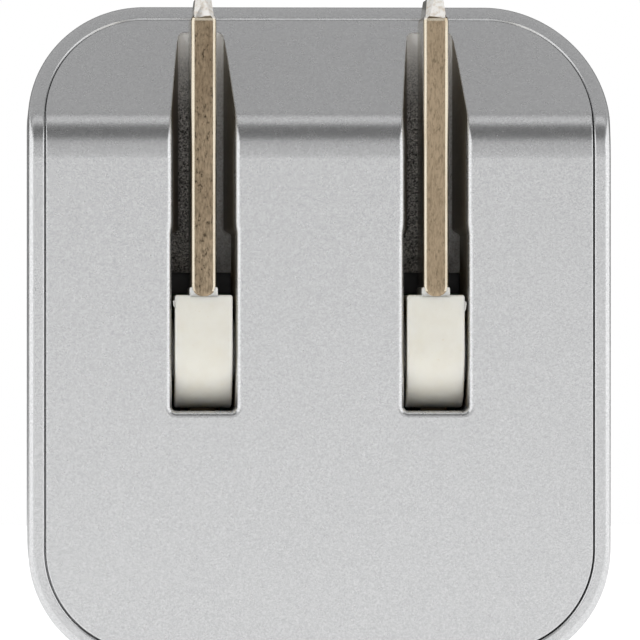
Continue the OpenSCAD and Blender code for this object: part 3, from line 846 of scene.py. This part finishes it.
def flash(points, depth):
    """A thin nib of moulding flash: an outline in X and Z with a little depth."""
    bm = bmesh.new()
    front = front_y + 0.1 * MM
    closed_skin(bm, [[bm.verts.new((x * MM, y, z * MM)) for x, z in points]
                     for y in (front, front + depth)])
    return meshed(bm, "flash")


ear_w, ear_t, ear_rise = 1.53 * MM, 0.52 * MM, 3.2 * MM
shaft_d, shaft_half = 3.4 * MM, 9.55 * MM
cam_d, cam_edge, cam_half = 3.56 * MM, 0.9 * MM, 1.5 * MM
parts = [block(side * blade_x) for side in (-1, 1)]
parts += [bar("ear", ear_w, ear_t, 0.09 * MM, front_y + 0.03 * MM, pivot.y + 3.08 * MM,
              side * blade_x, pivot.z + ear_rise, 5) for side in (-1, 1)]
parts += [bar("shaft", shaft_d, shaft_d, shaft_d / 2 - 0.001 * MM, -shaft_half, shaft_half, pivot.y,
              pivot.z, along="X"),
          bar("cam", cam_d, cam_d, cam_edge, -cam_half, cam_half, pivot.y, pivot.z, along="X"),
          flash([(-7.9, 19.7), (-8.0, 19.85), (-8.02, 20.1), (-7.9, 20.2)], 0.4 * MM),
          flash([(7.9, 19.5), (7.99, 19.65), (8.03, 19.95), (7.99, 20.1), (7.9, 20.0)], 0.5 * MM)]
nylon, tree, shader = new_material("cream_nylon")
stain = spread(tree, noise(tree, 1.1 * MM, 5, 0.6), 0.0, 1.0, 0.42, 0.72)
base = blend_colours(tree, stain, (0.645, 0.63, 0.57), (0.615, 0.59, 0.52))
spots = spread(tree, noise(tree, 0.28 * MM, 2), 0.0, 0.55, 0.70, 0.80)
connect(shader, {"Base Color": blend_colours(tree, spots, base, (0.55, 0.45, 0.30)),
                 "Roughness": spread(tree, noise(tree, 0.4 * MM, 4), 0.38, 0.52),
                 "Subsurface Weight": 0.6, "Subsurface Scale": 1.0,
                 "Subsurface Radius": (1.5 * MM, 1.4 * MM, 1.1 * MM)})
relief(tree, shader, (noise(tree, 0.5 * MM, 3), 0.006 * MM), (noise(tree, 0.07 * MM, 2), 0.0012 * MM))
carrier = joined("nylon_carrier", parts)
dress(carrier, nylon)
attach(carrier, "blades")
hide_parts("blade_carrier")

# ---- Blades ----
# Two flat brass blades with worn nickel plating. Their long edges are rolled round, the
# lower end is rounded into the block and the tip is narrowed and cut to two facets.

blade_half = 0.7 * MM
blade_side = 3.175 * MM
blade_tip = 19.25 * MM
tip_start = 18.25 * MM
blade_edge = 0.26 * MM
neck_t = 1.36 * MM


def blade_half_at(rise):
    """Half thickness of a blade at that height above the pivot."""
    if rise < 3.5 * MM:
        share = (3.5 * MM - rise) / (0.6 * MM)
        return blade_half * (0.2 + 0.8 * math.sqrt(max(1 - share * share, 0)))
    if rise < tip_start - 0.3 * MM:
        return blade_half
    if rise < tip_start + 0.02 * MM:
        share = (rise - tip_start + 0.3 * MM) / (0.32 * MM)
        return blade_half - 0.14 * MM * (1 - math.sqrt(max(1 - share * share, 0)))
    return 0.56 * MM - 0.12 * MM * (rise - tip_start) / (blade_tip - tip_start)


def blade(name, side):
    """A blade: rounded sections stacked along it, a tip cut to facets, and its neck and tail."""
    bm = bmesh.new()
    rises = [2.95 + 0.55 * (1 - math.cos(math.pi / 2 * i / 13)) for i in range(14)]
    rises += [4.5, 9, 14, 17.94]
    rises += [17.95 + 0.32 * math.sin(math.pi / 2 * i / 6) for i in range(1, 7)] + [18.7, 19.25]
    rows = []
    for rise in rises:
        thick = blade_half_at(rise * MM)
        wide = blade_side - max(3.15 - rise, 0) * 0.3 * MM
        edge = min(blade_edge, 0.8 * thick)
        row = []
        for sx, sy, start in ((1, -1, -90), (1, 1, 0), (-1, 1, 90), (-1, -1, 180)):
            for i in range(8):
                angle = math.radians(start + 90 * i / 7)
                row.append(bm.verts.new((side * blade_x + sx * (thick - edge) + edge * math.cos(angle),
                                         pivot.y + sy * (wide - edge) + edge * math.sin(angle),
                                         pivot.z + rise * MM)))
        rows.append(row)
    skin(bm, rows)
    bm.faces.new(rows[0])
    bm.faces.new(rows[-1])
    middle_line = Vector((side * blade_x, pivot.y, pivot.z))
    inward = -side
    cuts = [((0, -blade_side, tip_start), (-0.10 * inward, -0.78, 0.615)),
            ((0.02 * MM * inward, -2.55 * MM, tip_start + 0.92 * MM), (0.62 * inward, -0.50, 0.60)),
            ((0, blade_side, tip_start), (0, 0.707, 0.707))]
    for place, facing in cuts:
        where = middle_line + Vector(place)
        result = bmesh.ops.bisect_plane(bm, geom=bm.verts[:] + bm.edges[:] + bm.faces[:],
                                        plane_co=where, plane_no=facing, clear_outer=True)
        rim = [item for item in result["geom_cut"] if isinstance(item, bmesh.types.BMEdge)]
        bmesh.ops.holes_fill(bm, edges=rim)
    smooth(bm, 24)
    body = meshed(bm, name + "_prong")
    neck = bar("neck", neck_t, 5.1 * MM, 0.1 * MM, pivot.y - 2 * MM, pivot.y + 2 * MM,
               side * blade_x, pivot.z + 0.4 * MM, 3)
    tail = bar("tail", neck_t, 2.1 * MM, 0.1 * MM, pivot.y + 0.35 * MM, pivot.y + 2.3 * MM,
               side * blade_x, pivot.z - 2.85 * MM, 3)
    return joined(name, [body, neck, tail])


def nickel(name, clean, scratched):
    """Bright nickel, scratched along the blade."""
    material, tree, shader = new_material(name)
    scuff = noise(tree, 0.3 * MM, 5, 0.65, (1.0, 1.0, 0.12))
    worn = spread(tree, scuff, 0.0, 0.7, 0.52, 0.72)
    connect(shader, {"Base Color": blend_colours(tree, worn, clean, scratched), "Metallic": 1.0,
                     "Roughness": spread(tree, scuff, 0.16, 0.32)})
    relief(tree, shader, (scuff, 0.0025 * MM), (noise(tree, 0.05 * MM, 3), 0.001 * MM))
    return material


def plating(name, light, warm, dark, streaks):
    """Nickel worn to the brass on a long edge: brushing, dark streaks and warm patches."""
    material, tree, shader = new_material(name)
    brush = noise(tree, 0.12 * MM, 4, 0.65, (1.0, 1.0, 0.28))
    patches = noise(tree, 1.3 * MM, 4, 0.6, (1.0, 1.0, 0.35))
    tint = blend_colours(tree, spread(tree, patches, 0.0, 1.0, 0.3, 0.7), light, warm)
    lined = blend_colours(tree, spread(tree, brush, 0.0, 0.8, 0.42, 0.72), tint, dark)
    blotch = noise(tree, 0.17 * MM, 5, 0.75, (1.0, 1.0, 0.5))
    fleck = spread(tree, blotch, 0.0, streaks, 0.55, 0.66)
    connect(shader, {"Base Color": blend_colours(tree, fleck, lined, (0.04, 0.028, 0.018)),
                     "Metallic": 1.0, "Roughness": spread(tree, brush, 0.26, 0.46)})
    relief(tree, shader, (brush, 0.006 * MM), (noise(tree, 0.06 * MM, 3), 0.0015 * MM))
    return material


rolled = nickel("rolled_nickel", (0.53, 0.475, 0.38), (0.36, 0.285, 0.19))
flat_side = nickel("flat_nickel", (0.60, 0.575, 0.52), (0.45, 0.405, 0.33))
tarnish, tree, shader = new_material("dull_brass")
connect(shader, {
    "Base Color": blend_colours(tree, noise(tree, 0.4 * MM, 4), (0.06, 0.045, 0.03),
                                (0.14, 0.10, 0.06)),
    "Metallic": 0.9,
    "Roughness": spread(tree, noise(tree, 0.2 * MM), 0.45, 0.65)})
cut_tip, tree, shader = new_material("cut_tip")
sheen = noise(tree, 0.25 * MM, 4, 0.6)
connect(shader, {
    "Base Color": blend_colours(tree, spread(tree, sheen, 0.0, 1.0, 0.45, 0.75),
                                (0.98, 0.96, 0.92), (0.70, 0.60, 0.48)),
    "Metallic": 0.85,
    "Roughness": spread(tree, sheen, 0.24, 0.4)})
relief(tree, shader, (sheen, 0.006 * MM))
left_edge = plating("worn_edge_left", (0.335, 0.262, 0.178), (0.243, 0.182, 0.119),
                    (0.08, 0.06, 0.039), 1.0)
right_edge = plating("worn_edge_right", (0.385, 0.30, 0.205), (0.31, 0.24, 0.16),
                     (0.175, 0.133, 0.086), 0.45)
for name, side, node, worn_edge in (("prong_left", -1, "blade_left", left_edge),
                                    ("prong_right", 1, "blade_right", right_edge)):
    thing = blade(name, side)
    dress(thing, rolled, worn_edge, tarnish, cut_tip, flat_side)
    for face in thing.data.polygons:
        rise = face.center.z - pivot.z
        if rise < 2.9 * MM:
            face.material_index = 2
        elif rise < 3.25 * MM:
            face.material_index = 1
        elif rise > tip_start + 0.05 * MM and face.normal.z > 0.3:
            face.material_index = 3
        elif abs(face.normal.x) > 0.985:
            face.material_index = 4
        elif 18.18 * MM < rise < 18.262 * MM:
            face.material_index = 2
        elif 18.07 * MM < rise < 18.18 * MM:
            face.material_index = 0
        else:
            face.material_index = 1 if abs(face.normal.y) > 0.985 and rise < tip_start else 0
    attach(thing, "blades")
    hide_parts(node)

# ---- Pivot hardware ----
# A black clamp holds the carrier's shaft in its bearings with two self-tapping screws.
# The steel leaf under it bears on the cam.


def plain_finish(name, low, high, size, rough=(0.35, 0.5), metallic=0.0, depth=0.003,
                 stretch=(1, 1, 1)):
    """A moulded or metal finish: two close tones, uneven gloss and a fine surface."""
    material, tree, shader = new_material(name)
    broad = noise(tree, size, 5, 0.6, stretch)
    gloss = noise(tree, size * 0.6, 4, 0.5, stretch)
    connect(shader, {
        "Base Color": blend_colours(tree, spread(tree, broad, 0.0, 1.0, 0.3, 0.7), low, high),
        "Metallic": metallic,
        "Roughness": spread(tree, gloss, *rough)})
    relief(tree, shader, (noise(tree, size * 0.25, 3, 0.6, stretch), depth * MM))
    return material


def coat(node, material):
    """Gives a CAD piece its finish."""
    for place in nodes[node].material_slots:
        place.material = material


coat("carrier_bracket", plain_finish("bracket_black", (0.012, 0.012, 0.013),
                                     (0.03, 0.03, 0.031), 0.6 * MM))
coat("detent_spring", plain_finish("blued_leaf", (0.42, 0.42, 0.43), (0.60, 0.60, 0.60),
                                   0.3 * MM, (0.18, 0.34), 1.0, 0.001, (0.2, 1, 1)))
screw_finish = plain_finish("zinc_steel", (0.50, 0.50, 0.49), (0.68, 0.67, 0.64), 0.3 * MM,
                            (0.22, 0.4), 1.0, 0.001)


def helix_tree():
    """Geometry Nodes: wire wound on a cylinder along Y, as a screw thread or a coil."""
    tree, given = new_tree("helix", ("Radius", "Height", "Turns", "Wire Radius", "Middle X",
                                     "Start Y", "Middle Z"), ("Steps", "Sides"))
    spiral = add_node(tree, "GeometryNodeCurveSpiral",
                      {"Resolution": given["Steps"], "Rotations": given["Turns"],
                       "Start Radius": given["Radius"], "End Radius": given["Radius"],
                       "Height": given["Height"]})
    wire = add_node(tree, "GeometryNodeCurvePrimitiveCircle",
                    {"Resolution": given["Sides"], "Radius": given["Wire Radius"]})
    tube = add_node(tree, "GeometryNodeCurveToMesh",
                    {"Curve": spiral["Curve"], "Profile Curve": wire["Curve"], "Fill Caps": True})
    place = add_node(tree, "ShaderNodeCombineXYZ",
                     {"X": given["Middle X"], "Y": given["Start Y"], "Z": given["Middle Z"]})
    laid = add_node(tree, "GeometryNodeTransform",
                    {"Geometry": tube["Mesh"], "Translation": place[0],
                     "Rotation": (-math.pi / 2, 0, 0)})
    return end_tree(tree, given, laid["Geometry"])


helices = helix_tree()


def helix(name, radius, height, turns, wire, middle_x, start_y, middle_z, finish, sides=8):
    """A baked coil or thread."""
    thing = new_object(name, bpy.data.meshes.new(name))
    return run_tree(thing, helices,
                    {"Radius": radius, "Height": height, "Turns": float(turns),
                     "Wire Radius": wire, "Middle X": middle_x, "Start Y": start_y,
                     "Middle Z": middle_z, "Steps": 32, "Sides": sides, "Finish": finish})


def turned(name, profile, middle_x, middle_z, steps=32):
    """A part turned about a line along Y: profile is (radius, y) pairs, closed at both ends."""
    bm = bmesh.new()
    turns = [2 * math.pi * i / steps for i in range(steps)]
    closed_skin(bm, [[bm.verts.new((middle_x + radius * math.cos(turn), y,
                                    middle_z + radius * math.sin(turn))) for turn in turns]
                     for radius, y in profile])
    return meshed(bm, name)


screws_low, screws_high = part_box("bracket_screws")
screw_reach = 6.2 * MM
shank_r, head_r, head_rim = 0.72 * MM, 1.78 * MM, 0.4 * MM
head_top = screws_high.y
head_foot = head_top - 1.2 * MM
recess_w, recess_l = 0.42 * MM, 2.2 * MM
screw_parts = []
for side in (-1, 1):
    z = pivot.z + side * screw_reach
    dome = [(shank_r, screws_low.y), (shank_r + 0.02 * MM, head_foot - 0.02 * MM),
            (head_r - 0.06 * MM, head_foot), (head_r, head_foot + 0.06 * MM)]
    dome += [(head_r * math.cos(t), head_foot + head_rim + 0.78 * MM * math.sin(t))
             for t in [math.pi / 2 * i / 10 for i in range(9)]]
    dome.append((0.2 * MM, head_top - 0.015 * MM))
    head = turned("screw_head", dome, 0, z)
    for width, height in ((recess_w, recess_l), (recess_l, recess_w)):
        combine(head, bar("recess", width, height, 0.1 * MM, head_top - 0.62 * MM,
                          head_top + 0.3 * MM, 0, z, 3), "DIFFERENCE")
    screw_parts += [head, helix("thread", shank_r, head_foot - screws_low.y - 0.6 * MM, 4,
                                0.12 * MM, 0, screws_low.y + 0.15 * MM, z, screw_finish, 4)]
bracket_screws = joined("clamp_screws", screw_parts)
dress(bracket_screws, screw_finish)
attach(bracket_screws, "case")
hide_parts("bracket_screws")

# ---- Contact springs ----
# Two leaves bent from phosphor bronze strip. Each stands with its foot on the board's
# front face and presses on a blade's tail once the blades are out.

bronze = plain_finish("phosphor_bronze", (0.62, 0.40, 0.20), (0.78, 0.54, 0.30), 0.3 * MM,
                      (0.2, 0.36), 1.0, 0.001, (1, 1, 0.2))
for side in ("left", "right"):
    coat("contact_spring_" + side, bronze)

# ---- Circuit board ----
# A glass laminate with green resist. The tinned joints of its parts stand up as small
# domes on its front face.

laminate, tree, shader = new_material("green_laminate")
weave = add_node(tree, "ShaderNodeTexWave",
                 {"Scale": 500, "Vector": object_point(tree, (1, 0, 1))})["Fac"]
resist = blend_colours(tree, weave, (0.010, 0.085, 0.030), (0.016, 0.120, 0.042))
tracks = spread(tree, noise(tree, 3.0 * MM, 1, 0.3), 0.0, 1.0, 0.50, 0.53)
connect(shader, {"Base Color": blend_colours(tree, tracks, resist, (0.035, 0.19, 0.07)),
                 "Roughness": spread(tree, noise(tree, 1 * MM), 0.25, 0.4)})
relief(tree, shader, (tracks, 0.03 * MM), (weave, 0.002 * MM))
coat("main_board", laminate)


def joints_tree():
    """Geometry Nodes: a solder dome on every point of a cloud, flat on the board."""
    tree, given = new_tree("solder_joints", ("Dome Radius", "Dome Height"), takes_mesh=True)
    dome = add_node(tree, "GeometryNodeMeshUVSphere", {"Segments": 14, "Rings": 9, "Radius": 1.0})
    size = add_node(tree, "ShaderNodeCombineXYZ",
                    {"X": given["Dome Radius"], "Y": given["Dome Height"],
                     "Z": given["Dome Radius"]})
    sized = add_node(tree, "GeometryNodeTransform", {"Geometry": dome["Mesh"], "Scale": size[0]})
    placed = add_node(tree, "GeometryNodeInstanceOnPoints",
                      {"Points": given["Geometry"], "Instance": sized["Geometry"]})
    return end_tree(tree, given, placed["Instances"])


solder_finish = plain_finish("solder", (0.58, 0.58, 0.57), (0.74, 0.74, 0.72), 0.3 * MM,
                             (0.18, 0.32), 1.0, 0.002)
two_leads = ((-9.2, 7.0), (9.2, 7.0), (10.35, 28.4), (0, 10.6))
joint_places = [(x + lead, z) for x, z in two_leads for lead in (-1.3, 1.3)]
joint_places += [(0, 4.9), (-10.3, 25.9), (-10.3, 30.9), (-3.5, 18.1), (-1, 18.1), (1, 18.1),
                 (3.5, 18.1), (-5, 23), (-5, 33), (5, 23), (5, 33)]
points = bpy.data.meshes.new("solder_joints")
points.from_pydata([(x * MM, board_low.y, z * MM) for x, z in joint_places], [], [])
solder = run_tree(new_object("solder_joints", points), joints_tree(),
                  {"Dome Radius": 0.55 * MM, "Dome Height": 0.32 * MM, "Finish": solder_finish})
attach(solder, "case")

# ---- USB socket ----
# A folded steel shell with a flared mouth and four spring tongues, a moulded insulator
# and four gold-plated contacts on the lower face of its tongue.

shell_box_low, shell_box_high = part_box("usb_shell")
socket_z = (shell_box_low.z + shell_box_high.z) / 2
half_w, half_h = (shell_box_high.x - shell_box_low.x) / 2, (shell_box_high.z - shell_box_low.z) / 2
sheet_t = 0.3 * MM
mouth_y = shell_box_high.y

steel = plain_finish("plated_shell", (0.56, 0.56, 0.55), (0.74, 0.73, 0.71), 0.5 * MM,
                     (0.16, 0.3), 1.0, 0.0012, (1, 0.15, 1))
mouth_profile = [(0.04, 0.5, 0.9), (0.0, 0.52, 0.25), (0.0, 0.52, 0.08), (0.06, 0.46, 0.01),
                 (0.14, 0.4, 0), (0.22, 0.34, 0.02), (0.3, 0.28, 0.12), (0.34, 0.25, 0.9)]
profile = [(0.04, 0.5, shell_box_low.y)]
profile += [(inset, radius, mouth_y - back * MM) for inset, radius, back in mouth_profile]
profile.append((0.34, 0.25, shell_box_low.y + sheet_t))
bm = bmesh.new()
closed_skin(bm, [[bm.verts.new((x, y, z))
                  for x, z in loop(half_w - inset * MM, half_h - inset * MM, radius * MM,
                                   socket_z, 0, [0.0, 1.0], 10)]
                 for inset, radius, y in profile])
socket_parts = [meshed(bm, "socket_body")]
socket_parts += [bar("spring_tongue", 1.7 * MM, 0.22 * MM, 0.1 * MM, mouth_y - 7.0 * MM,
                     mouth_y - 1.6 * MM, side * 3.4 * MM, socket_z + up * (half_h - 0.42 * MM), 3)
                 for side in (-1, 1) for up in (-1, 1)]
socket_shell = joined("socket_shell", socket_parts)
dress(socket_shell, steel)
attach(socket_shell, "case")
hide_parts("usb_shell")

tongue_low, tongue_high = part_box("usb_tongue")
contacts_low, contacts_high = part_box("usb_contacts")
tongue_bottom = contacts_high.z
tongue_half_t = 0.92 * MM
insulator = joined("socket_insulator", [
    bar("tongue", 11.1 * MM, 2 * tongue_half_t, 0.22 * MM, tongue_low.y + 0.1 * MM,
        tongue_high.y, 0, tongue_bottom + tongue_half_t, 5),
    bar("base", 12.2 * MM, 4.9 * MM, 0.2 * MM, tongue_low.y, tongue_low.y + 2.7 * MM, 0,
        socket_z, 5)])
dress(insulator, plain_finish("white_insulator", (0.70, 0.70, 0.68), (0.80, 0.80, 0.78),
                              0.7 * MM, (0.35, 0.5)))
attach(insulator, "case")
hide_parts("usb_tongue")

gold = plain_finish("gold_plate", (0.82, 0.58, 0.22), (0.95, 0.72, 0.34), 0.3 * MM,
                    (0.14, 0.26), 1.0, 0.0008, (1, 0.2, 1))
outer_and_inner = ((-3.5, 0), (-1, 1), (1, 1), (3.5, 0))
contact_strips = joined("socket_contacts", [
    bar("strip", 1.0 * MM, 0.15 * MM, 0.06 * MM, contacts_low.y, contacts_high.y - shorter * MM,
        x * MM, tongue_bottom - 0.074 * MM, 3) for x, shorter in outer_and_inner])
dress(contact_strips, gold)
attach(contact_strips, "case")
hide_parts("usb_contacts")

# ---- Transformer ----
# A ferrite frame round a moulded former. The copper windings are wrapped in yellow
# polyester tape.

ferrite = plain_finish("dark_ferrite", (0.035, 0.035, 0.038), (0.075, 0.075, 0.08), 0.3 * MM,
                       (0.45, 0.62), 0.2, 0.006)
copper = plain_finish("enamelled_copper", (0.50, 0.20, 0.08), (0.72, 0.33, 0.14), 0.2 * MM,
                      (0.18, 0.3), 0.9, 0.002)
coat("transformer_core", ferrite)
coat("transformer_bobbin", plain_finish("former_plastic", (0.015, 0.015, 0.016),
                                        (0.035, 0.035, 0.036), 0.5 * MM))
coat("transformer_winding", copper)
coat("transformer_tape", plain_finish("polyester_tape", (0.72, 0.50, 0.06), (0.85, 0.64, 0.12),
                                      1.2 * MM, (0.2, 0.34)))

# ---- Capacitors ----
# Aluminium cans in shrunk plastic sleeves: two dark blue on the mains side, one green on
# the output, and a blue lacquered disc between the two sides.

aluminium = plain_finish("can_aluminium", (0.58, 0.59, 0.60), (0.74, 0.75, 0.76), 0.5 * MM,
                         (0.22, 0.36), 1.0, 0.0015)
for node in ("input_capacitor_cans", "output_capacitor_can"):
    coat(node, aluminium)
coat("input_capacitor_sleeves", plain_finish("dark_blue_sleeve", (0.012, 0.018, 0.075),
                                             (0.022, 0.032, 0.12), 1.5 * MM, (0.2, 0.32)))
coat("output_capacitor_sleeve", plain_finish("green_sleeve", (0.012, 0.070, 0.035),
                                             (0.022, 0.105, 0.055), 1.5 * MM, (0.2, 0.32)))
coat("y_capacitor", plain_finish("blue_lacquer", (0.03, 0.12, 0.42), (0.06, 0.19, 0.56),
                                 0.6 * MM, (0.18, 0.34), 0.0, 0.008))

# ---- Filter inductor and fuse resistor ----
# A ferrite drum wound with enamelled copper wire, and a lacquered resistor that stands
# on its lead and opens if the charger fails.

coat("filter_inductor_core", ferrite)
coil_low, coil_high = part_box("filter_inductor_winding")
coil_x, coil_z = (coil_low.x + coil_high.x) / 2, (coil_low.z + coil_high.z) / 2
coil_r = (coil_high.x - coil_low.x) / 2
coil_turns = 19
wire_r = 0.13 * MM
under_r = coil_r - 0.14 * MM
under_layers = turned("under_layers", [(under_r, coil_low.y + 0.02 * MM),
                                       (under_r, coil_high.y - 0.02 * MM)], coil_x, coil_z)
top_layer = helix("coil", coil_r - wire_r, coil_high.y - coil_low.y - 2 * wire_r, coil_turns,
                  wire_r, coil_x, coil_low.y + wire_r, coil_z, copper)
coil = joined("inductor_coil", [under_layers, top_layer])
dress(coil, copper)
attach(coil, "case")
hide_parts("filter_inductor_winding")
coat("fuse_resistor", plain_finish("tan_lacquer", (0.48, 0.34, 0.20), (0.62, 0.46, 0.28),
                                   0.5 * MM, (0.25, 0.4), 0.0, 0.006))

# ---- Chips ----
# The rectifier, controller, optocoupler and output diode. Each is moulded in black epoxy
# with its legs in rows, and they sit on both faces of the board.

epoxy, tree, shader = new_material("black_epoxy")
grit = noise(tree, 0.08 * MM, 3, 0.7)
connect(shader, {"Base Color": blend_colours(tree, grit, (0.010, 0.010, 0.011),
                                             (0.032, 0.032, 0.034)),
                 "Roughness": spread(tree, noise(tree, 0.5 * MM, 4), 0.42, 0.6)})
relief(tree, shader, (grit, 0.006 * MM))
for node in ("bridge_rectifier", "controller_chip", "optocoupler", "output_diode"):
    coat(node, epoxy)

# ---- Insulation film ----
# A cloudy polyester sheet, cut flat and set square to the board. It keeps the socket
# apart from the mains parts below it.

film, tree, shader = new_material("polyester_film")
cloudy = noise(tree, 1.5 * MM, 4)
connect(shader, {"Base Color": blend_colours(tree, cloudy, (0.72, 0.73, 0.74),
                                             (0.86, 0.87, 0.87)),
                 "Roughness": spread(tree, cloudy, 0.12, 0.26), "Transmission Weight": 0.5})
relief(tree, shader, (noise(tree, 4 * MM, 2), 0.02 * MM))
coat("insulation_sheet", film)
